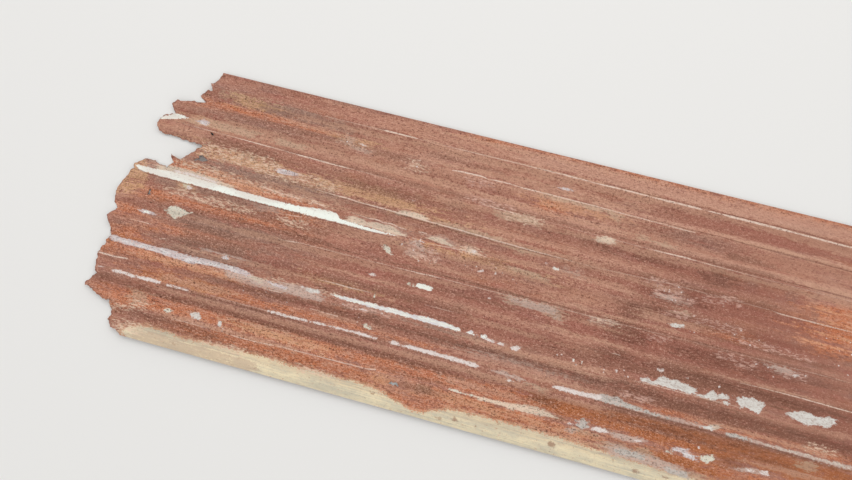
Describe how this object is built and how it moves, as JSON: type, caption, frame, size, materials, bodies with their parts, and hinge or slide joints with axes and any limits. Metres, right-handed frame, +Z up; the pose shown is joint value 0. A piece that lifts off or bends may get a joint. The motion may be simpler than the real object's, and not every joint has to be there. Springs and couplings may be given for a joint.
{
  "type": "corrugated metal sheet",
  "caption": "Long steel roofing sheet with round corrugations, square at one end and rusted to a ragged edge at the other, with small rust holes.",
  "frame": {"origin": "middle of the flat underside, level with the troughs the sheet lies on", "axes": "+X along the corrugations towards the square-cut end, +Y across them towards the edge that ends in a trough, +Z up"},
  "size_m": [2.438, 0.8308, 0.0186],
  "materials": {
    "rusted_sheet": "matt red-brown rust over galvanised steel, with remains of grey zinc and white limewash"
  },
  "bodies": {
    "root": {"corrugated_sheet": "rusted_sheet"}
  },
  "joints": []
}
